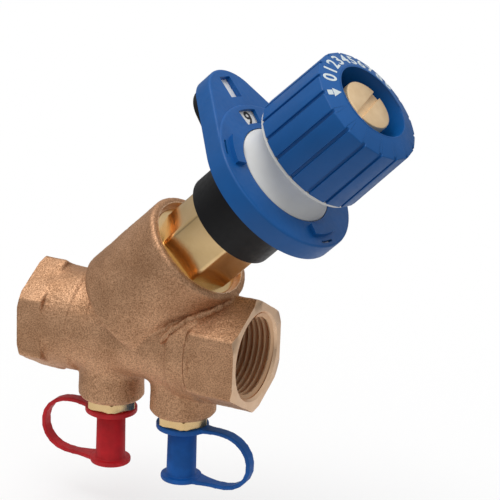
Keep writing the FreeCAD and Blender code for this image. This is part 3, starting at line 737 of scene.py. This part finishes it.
bonnet = turned("brass_bonnet", bonnet_rings)
hexagon = prism("bonnet_hexagon", 6, bonnet_hex_flats / 2, bonnet_hex_low, bonnet_hex_top)
apply_modifier(hexagon, "BEVEL", width=bonnet_edge_round, segments=2, limit_method="ANGLE")
corners_off = turned(
    "corners_off",
    [
        (bonnet_hex_turn, bonnet_hex_low - 0.6),
        (bonnet_hex_turn, bonnet_hex_top - 0.5),
        (bonnet_hex_turn - 0.9, bonnet_hex_top + 0.1),
    ],
)
trim(hexagon, corners_off)
fuse(bonnet, hexagon)
cut(bonnet, turned("spindle_bore", spindle_bore_rings, 64))
clip_groove_rings = [(8.3, clip_low), (10, clip_low), (10, clip_high), (8.3, clip_high)]
cut(bonnet, turned("clip_groove", clip_groove_rings, hollow=True))
finished(bonnet, stack_place, brass)
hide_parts("bonnet")
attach(bonnet, "valve")
dress("bonnet_seal", black_rubber)


# Spindle, disc and throttle cone: brass, moved up and down by the handwheel inside the bonnet.
# The disc holds a rubber seal, clamped by the cone, and two O-rings seal the stem.
for node in ("spindle", "valve_disc", "throttle_cone"):
    dress(node, brass)
for node in ("spindle_o_rings", "disc_seal"):
    dress(node, black_rubber)


# Base: a black moulding pushed over the bonnet's hexagon, with the floor of the counter and the ear's pad.
# Its skin is finely eroded, so it has a soft sheen and no shine, and its outer edge is rounded.
sleeve_radius = 15.5
sleeve_low = 59.0
sleeve_edge_round = 0.9
black_plastic = new_finish("black_plastic", (0.0045, 0.0045, 0.0055), 0.45, shine=0.25)
roughness_by(black_plastic, speckle(black_plastic, 1.5), 0.40, 0.54)
raised_by(black_plastic, (speckle(black_plastic, 0.25, 2), 0.012))


def copy_of(node, name):
    """A copy of a CAD piece in the stack's frame, with its loose triangles merged into whole faces."""
    piece = frame["nodes"][node].copy()
    piece.data = piece.data.copy()
    piece.name = name
    piece.parent = None
    for key in list(piece.keys()):
        del piece[key]
    bpy.context.scene.collection.objects.link(piece)
    select_only(piece)
    bpy.ops.mesh.customdata_custom_splitnormals_clear()
    seat(piece, to_stack @ Matrix.Scale(1 / mm, 4) @ piece.matrix_world)
    edit(piece)
    bpy.ops.mesh.remove_doubles(threshold=0.002)
    bpy.ops.mesh.dissolve_limited(angle_limit=math.radians(0.5))
    edit_done()
    return piece


def soften(piece, width, chosen, sharpness=25, held_back=True):
    """Rounds the sharp edges whose two ends are both chosen, held back where two rounds would meet."""
    edit(piece, "DESELECT")
    bpy.ops.mesh.select_mode(type="EDGE")
    bpy.ops.mesh.edges_select_sharp(sharpness=math.radians(sharpness))
    edit_done()
    for edge in piece.data.edges:
        ends = [piece.data.vertices[end].co for end in edge.vertices]
        edge.select = edge.select and all(chosen(math.hypot(end.x, end.y), end.z) for end in ends)
    bpy.ops.object.mode_set(mode="EDIT")
    bpy.ops.mesh.bevel(offset=width, segments=3, affect="EDGES", clamp_overlap=held_back)
    bpy.ops.mesh.select_mode(type="VERT")
    edit_done()
    return piece


base = copy_of("base_sleeve", "black_base")
soften(
    base, sleeve_edge_round,
    lambda radius, level: abs(radius - sleeve_radius) < 0.05 and abs(level - sleeve_low) < 0.01,
)
finished(base, stack_place, black_plastic)
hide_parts("base_sleeve")
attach(base, "valve")


# Turn counter: a carrier on the handwheel's hub rolls a stepped pinion round the base's toothed ring.
# Both are small natural acetal mouldings, hidden under the dial.
white_dark = (0.78, 0.77, 0.73)
white_light = (0.88, 0.87, 0.83)
white_plastic = new_finish("white_plastic", white_light, 0.45)
set_from(
    white_plastic, "Base Color",
    colour_by(white_plastic, speckle(white_plastic, 12), white_dark, white_light, 0.3, 0.7),
)
roughness_by(white_plastic, speckle(white_plastic, 2), 0.40, 0.52)
raised_by(white_plastic, (speckle(white_plastic, 0.3, 2), 0.006))
for node in ("counter_carrier", "counter_pinion"):
    dress(node, white_plastic)


# Number dial: a white moulding whose disc turns under the window and whose collar reaches the handwheel.
# The figures are printed in black, one for each turn that the valve is open, and 9 shows when it is open.
dial_top = 81.6
dial_lip_radius = 18.4
dial_lip_round = 0.25
ear_angle = math.radians(-11.3)
figure_height = 4.4
figure_radius = 21.0
figure_step = math.radians(36)
figure_lead = math.radians(-2.5)
capital_share = 0.7
ink_thickness = 0.03
ink_spread = 0.03

dial = copy_of("number_dial", "white_dial")
soften(dial, dial_lip_round, lambda radius, level: abs(radius - dial_lip_radius) < 0.05)
finished(dial, stack_place, white_plastic)
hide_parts("number_dial")
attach(dial, "dial")


def lettered(character, height, middle):
    """A printed character as a thin mesh, with its top outward and its middle where it is asked for."""
    bpy.ops.object.select_all(action="DESELECT")
    bpy.ops.object.text_add()
    print_mark = bpy.context.object
    print_mark.data.body = character
    print_mark.data.size = height / capital_share
    print_mark.data.extrude = ink_thickness
    print_mark.data.offset = ink_spread * height
    bpy.ops.object.convert(target="MESH")
    print_mark = bpy.context.object
    xs = [corner[0] for corner in print_mark.bound_box]
    ys = [corner[1] for corner in print_mark.bound_box]
    centred = Matrix.Translation((-(min(xs) + max(xs)) / 2, -(min(ys) + max(ys)) / 2, 0))
    return seat(print_mark, middle @ Matrix.Rotation(-math.pi / 2, 4, "Z") @ centred)


figures = []
for figure in range(10):
    figure_place = Matrix.Rotation(ear_angle + figure_lead + (9 - figure) * figure_step, 4, "Z")
    figure_place = figure_place @ Matrix.Translation((figure_radius, 0, dial_top))
    figures.append(lettered(str(figure), figure_height, figure_place))
dial_figures = seat(joined("dial_figures", figures), stack_place)
black_ink = new_finish("black_ink", (0.02, 0.02, 0.022), 0.5)
roughness_by(black_ink, speckle(black_ink, 0.6), 0.42, 0.6)
coat(dial_figures, black_ink)
to_metres(dial_figures)
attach(dial_figures, "dial")


# Housing: a blue moulding over the counter, drawn out into an ear with a shallow recess in it.
# A window shows one figure of the dial, and three latches hold the cover down.
# A white label is laid in the recess.
recess_floor = 80.7
recess_distance = 31.8
label_length = 7.2
label_width = 5.1
label_thickness = 0.3
label_edge_round = 0.08
blue_colour = (0.002, 0.102, 0.36)
blue_plastic = new_finish("blue_plastic", blue_colour, 0.42, shine=0.4)
blue_dark = [0.9 * part for part in blue_colour]
blue_light = [1.08 * part for part in blue_colour]
set_from(
    blue_plastic, "Base Color",
    colour_by(blue_plastic, speckle(blue_plastic, 14), blue_dark, blue_light, 0.3, 0.7),
)
roughness_by(blue_plastic, speckle(blue_plastic, 1.5), 0.36, 0.50)
raised_by(blue_plastic, (speckle(blue_plastic, 0.3, 2), 0.008))

housing = copy_of("indicator_housing", "blue_housing")
finished(housing, stack_place, blue_plastic)
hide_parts("indicator_housing")
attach(housing, "valve")

ear_label = bar(
    "ear_label", (label_length, label_width, label_thickness),
    (recess_distance, 0, recess_floor + label_thickness / 2), turn=ear_angle,
)
apply_modifier(ear_label, "BEVEL", width=label_edge_round, segments=2)
label_paper = new_finish("label_paper", (0.92, 0.92, 0.91), 0.5)
roughness_by(label_paper, speckle(label_paper, 0.8), 0.44, 0.58)
finished(ear_label, stack_place, label_paper)
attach(ear_label, "valve")


# Handwheel: a blue moulding of flat finger panels under a shallow crown, open at its end.
# White marks are printed round the crown, and a steel snap ring in the hub keeps it on the bonnet's neck.
knob_panels = 18
knob_low = 94.3
knob_end = 120.2
knob_rim = 118.0
knob_apothem_low = 19.05
knob_apothem_rim = 18.6
knob_apothem_end = 18.558
knob_recess_radius = 12.36
knob_recess_floor = 103.2
knob_edge_round = 0.28
knob_hollow_radius = 16.4
knob_hollow_top = 100.2
hub_radius = 11.5
hub_low = 80.6
neck_bore_radius = 8.95
drive_flats = 8.1
groove_width = 1.0
groove_depth = 0.9
turned_sides = 144
mark_height = 4.0
mark_radius = 15.5
mark_start = 39
mark_step = 13.5
arrow_angle = 60
arrow_head_size = 1.75
arrow_head_radius = 14.7
arrow_shaft_size = 1.7
arrow_shaft_radius = 16.5
crown_slope = (knob_end - knob_rim) / (knob_apothem_rim - knob_recess_radius)

knob = prism("blue_handwheel", knob_panels, knob_apothem_low, knob_low, knob_end, knob_apothem_end)
crown_tool = turned(
    "crown_tool",
    [
        (30, knob_low - 2),
        (30, knob_rim - (30 - knob_apothem_rim) * crown_slope),
        (knob_recess_radius, knob_end),
        (1, knob_end + 0.5),
    ],
    turned_sides,
)
trim(knob, crown_tool)
to_corner = 1 / math.cos(math.pi / knob_panels)
floor_low = knob_apothem_low * to_corner - groove_depth
floor_end = knob_apothem_end * to_corner - groove_depth
groove_tilt = math.atan2(floor_end - floor_low, knob_end - knob_low)
groove_middle = ((floor_low + floor_end) / 2 + 2, 0, (knob_low + knob_end) / 2)
grooves = [
    bar("groove", (4, groove_width, 40), groove_middle, groove_tilt, panel * 2 * math.pi / knob_panels)
    for panel in range(knob_panels)
]
cut(knob, joined("grooves", grooves))
recess_rings = [(knob_recess_radius, knob_recess_floor), (knob_recess_radius, knob_end + 2)]
cut(knob, turned("recess", recess_rings, turned_sides))
hollow_rings = [
    (hub_radius, 92), (knob_hollow_radius, 92),
    (knob_hollow_radius, knob_hollow_top), (hub_radius, knob_hollow_top),
]
cut(knob, turned("hollow", hollow_rings, turned_sides, hollow=True))
fuse(knob, turned("hub", [(hub_radius, hub_low), (hub_radius, knob_low + 3)], turned_sides))
cut(knob, turned("neck_bore", [(neck_bore_radius, 79), (neck_bore_radius, knob_hollow_top)], turned_sides))
clip_seat_rings = [(8.0, clip_low), (9.7, clip_low), (9.7, clip_high), (8.0, clip_high)]
cut(knob, turned("clip_seat", clip_seat_rings, turned_sides, hollow=True))
cut(knob, prism("drive", 6, drive_flats / 2, 99, 104))
soften(
    knob, knob_edge_round,
    lambda radius, level: radius > 12 and level > knob_low - 0.1, sharpness=18, held_back=False,
)
finished(knob, stack_place, blue_plastic)
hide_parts("handwheel")
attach(knob, "handwheel")

mark_tilt = math.atan(crown_slope)


def on_crown(angle, radius):
    """A place on the crown's cone, with X outward and Z square to the cone."""
    level = knob_end - (radius - knob_recess_radius) * crown_slope
    return (
        Matrix.Rotation(math.radians(angle), 4, "Z")
        @ Matrix.Translation((radius, 0, level + 0.02))
        @ Matrix.Rotation(mark_tilt, 4, "Y")
    )


marks = [
    lettered(str(number), mark_height, on_crown(mark_start - mark_step * number, mark_radius))
    for number in range(10)
]
bpy.ops.object.select_all(action="DESELECT")
bpy.ops.mesh.primitive_circle_add(
    vertices=3, radius=arrow_head_size, fill_type="NGON", rotation=(0, 0, math.pi / 2)
)
arrow_head = bpy.context.object
marks.append(seat(arrow_head, on_crown(arrow_angle, arrow_head_radius) @ arrow_head.matrix_basis))
bpy.ops.object.select_all(action="DESELECT")
bpy.ops.mesh.primitive_plane_add(size=arrow_shaft_size)
arrow_shaft = bpy.context.object
marks.append(seat(arrow_shaft, on_crown(arrow_angle, arrow_shaft_radius)))
crown_marks = seat(joined("crown_marks", marks), stack_place)
white_ink = new_finish("white_ink", (0.72, 0.80, 0.82), 0.5)
roughness_by(white_ink, speckle(white_ink, 0.6), 0.42, 0.6)
coat(crown_marks, white_ink)
to_metres(crown_marks)
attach(crown_marks, "handwheel")

spring_steel = new_finish("spring_steel", (0.42, 0.42, 0.43), 0.3, 1.0)
roughness_by(spring_steel, speckle(spring_steel, 0.8), 0.22, 0.4)
dress("handwheel_clip", spring_steel)


# Drain screw: a brass screw with a slot, in the end of the spindle at the bottom of the recess.
# Its head is turned and finely blasted, so it is paler and duller than the bonnet, and a ring seals it.
screw_stem_radius = 2.5
screw_head_radius = 8.2
screw_face = 118.5
screw_seat = 113.55
slot_width = 2.4
slot_depth = 1.1
slot_edge_round = 0.1
slot_angle = math.radians(100)

screw = turned(
    "brass_drain_screw",
    [
        (screw_stem_radius, 106.5), (screw_stem_radius, screw_seat),
        (screw_head_radius, screw_seat), (screw_head_radius, screw_face - 0.5),
        (screw_head_radius - 0.15, screw_face - 0.15), (screw_head_radius - 0.5, screw_face),
    ],
)
cut(screw, bar("slot", (20, slot_width, 2 * slot_depth), (0, 0, screw_face), turn=slot_angle))
apply_modifier(
    screw, "BEVEL", width=slot_edge_round, segments=2, limit_method="ANGLE", angle_limit=math.radians(40)
)
pale_brass = new_finish("pale_brass", (0.92, 0.67, 0.39), 0.45, 0.5)
set_from(
    pale_brass, "Base Color",
    colour_by(pale_brass, speckle(pale_brass, 3), (0.88, 0.63, 0.36), (0.96, 0.71, 0.43), 0.3, 0.7),
)
roughness_by(pale_brass, speckle(pale_brass, 0.8), 0.38, 0.5)
raised_by(pale_brass, (speckle(pale_brass, 0.3, 2), 0.012))
finished(screw, stack_place, pale_brass)
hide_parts("drain_screw")
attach(screw, "drain_screw")
dress("drain_seal", black_rubber)


# Studio: a white table under the caps, one broad soft lamp from above and a room that darkens to its foot.
# Table and room are white to the camera. To other rays the table carries a painted pool of light, bright near
# the valve and dim further off.
scene = bpy.context.scene
scene.view_settings.view_transform = "Standard"
# The floor lies low enough to leave room for the pulled caps
floor_level = cad_box[0][2] - 15.8 * mm
table_size = 8
table_middle = 0.04
# Reach and brightness of the pool of light painted on the table for bounced rays
painted_pool_reach = 0.4
painted_pool_far = 0.22
painted_pool_near = 0.95
table_glow = 0.65
room_foot = 0.35
room_top = 0.84
lamp_strength = 1.15
lamp_spread = math.radians(40)
lamp_from = Vector((-0.1, -0.2, 1.0))
bpy.ops.object.select_all(action="DESELECT")
bpy.ops.mesh.primitive_plane_add(size=table_size, location=(table_middle, 0, floor_level))
floor = bpy.context.object
floor.name = "floor"
floor_paint = new_finish("floor_paint", (0.97, 0.97, 0.97), 0.9, shine=0.0)
coat(floor, floor_paint)
floor_nodes, floor_links = floor_paint.node_tree.nodes, floor_paint.node_tree.links
floor_spot = floor_nodes.new("ShaderNodeTexCoord")
floor_scale = floor_nodes.new("ShaderNodeMapping")
floor_scale.inputs["Scale"].default_value = (1 / painted_pool_reach,) * 3
# Painted pool of light: the table's colour for bounced rays fades with distance from the valve
painted_pool_falloff = floor_nodes.new("ShaderNodeTexGradient")
painted_pool_falloff.gradient_type = "SPHERICAL"
painted_pool_ramp = floor_nodes.new("ShaderNodeValToRGB")
painted_pool_ramp.color_ramp.elements[0].color = (painted_pool_far, painted_pool_far, painted_pool_far, 1)
painted_pool_ramp.color_ramp.elements[1].color = (painted_pool_near, painted_pool_near, painted_pool_near, 1)
painted_pool_floor = floor_nodes.new("ShaderNodeBsdfDiffuse")
floor_links.new(floor_spot.outputs["Object"], floor_scale.inputs["Vector"])
floor_links.new(floor_scale.outputs["Vector"], painted_pool_falloff.inputs["Vector"])
floor_links.new(painted_pool_falloff.outputs["Fac"], painted_pool_ramp.inputs["Fac"])
floor_links.new(painted_pool_ramp.outputs["Color"], painted_pool_floor.inputs["Color"])
floor_white = floor_nodes.new("ShaderNodeEmission")
floor_seen = floor_nodes.new("ShaderNodeMixShader")
floor_seen.inputs["Fac"].default_value = table_glow
floor_rays = floor_nodes.new("ShaderNodeLightPath")
floor_mix = floor_nodes.new("ShaderNodeMixShader")
floor_links.new(floor_nodes["Principled BSDF"].outputs[0], floor_seen.inputs[1])
floor_links.new(floor_white.outputs[0], floor_seen.inputs[2])
floor_links.new(floor_rays.outputs["Is Camera Ray"], floor_mix.inputs["Fac"])
floor_links.new(painted_pool_floor.outputs[0], floor_mix.inputs[1])
floor_links.new(floor_seen.outputs[0], floor_mix.inputs[2])
floor_links.new(floor_mix.outputs[0], floor_nodes["Material Output"].inputs["Surface"])

world = bpy.data.worlds.new("room")
scene.world = world
world.use_nodes = True
room = world.node_tree
room.nodes.clear()
outward = room.nodes.new("ShaderNodeTexCoord")
parts = room.nodes.new("ShaderNodeSeparateXYZ")
height_shade = room.nodes.new("ShaderNodeValToRGB")
height_shade.color_ramp.elements[0].color = (room_foot, room_foot, room_foot, 1)
height_shade.color_ramp.elements[1].color = (room_top, room_top, room_top, 1)
dim = room.nodes.new("ShaderNodeBackground")
bright = room.nodes.new("ShaderNodeBackground")
bright.inputs["Color"].default_value = (1, 1, 1, 1)
rays = room.nodes.new("ShaderNodeLightPath")
mixed = room.nodes.new("ShaderNodeMixShader")
output = room.nodes.new("ShaderNodeOutputWorld")
room.links.new(outward.outputs["Generated"], parts.inputs[0])
room.links.new(parts.outputs["Z"], height_shade.inputs["Fac"])
room.links.new(height_shade.outputs["Color"], dim.inputs["Color"])
room.links.new(rays.outputs["Is Camera Ray"], mixed.inputs["Fac"])
room.links.new(dim.outputs[0], mixed.inputs[1])
room.links.new(bright.outputs[0], mixed.inputs[2])
room.links.new(mixed.outputs[0], output.inputs["Surface"])

key = bpy.data.lights.new("key", "SUN")
key.energy = lamp_strength
key.angle = lamp_spread
key_lamp = bpy.data.objects.new("key", key)
key_lamp.rotation_euler = lamp_from.to_track_quat("Z", "Y").to_euler()
scene.collection.objects.link(key_lamp)


# Camera: the photograph's own place and lens, worked out from the ports, the knob's rim and the caps.
# The image is taken to be square, and the lens isn't shifted.
view_azimuth = math.radians(26.252)
view_elevation = math.radians(18.726)
view_roll = math.radians(2.166)
view_distance = 724.14 * mm
view_target = Vector((71.363, 0, 33.348)) * mm
view_focus = 2432.95
frame_size = 500
back = Vector((
    math.sin(view_azimuth) * math.cos(view_elevation),
    -math.cos(view_azimuth) * math.cos(view_elevation),
    math.sin(view_elevation),
))
right = Vector((math.cos(view_azimuth), math.sin(view_azimuth), 0))
up = back.cross(right)
rolled_right = math.cos(view_roll) * right + math.sin(view_roll) * up
rolled_up = -math.sin(view_roll) * right + math.cos(view_roll) * up
lens = bpy.data.cameras.new("camera")
lens.sensor_width = 36
lens.lens = view_focus * lens.sensor_width / frame_size
lens.clip_start = 0.01
camera = bpy.data.objects.new("camera", lens)
camera.matrix_world = Matrix((rolled_right, rolled_up, back)).transposed().to_4x4()
camera.matrix_world.translation = view_target + back * view_distance
scene.collection.objects.link(camera)
scene.camera = camera
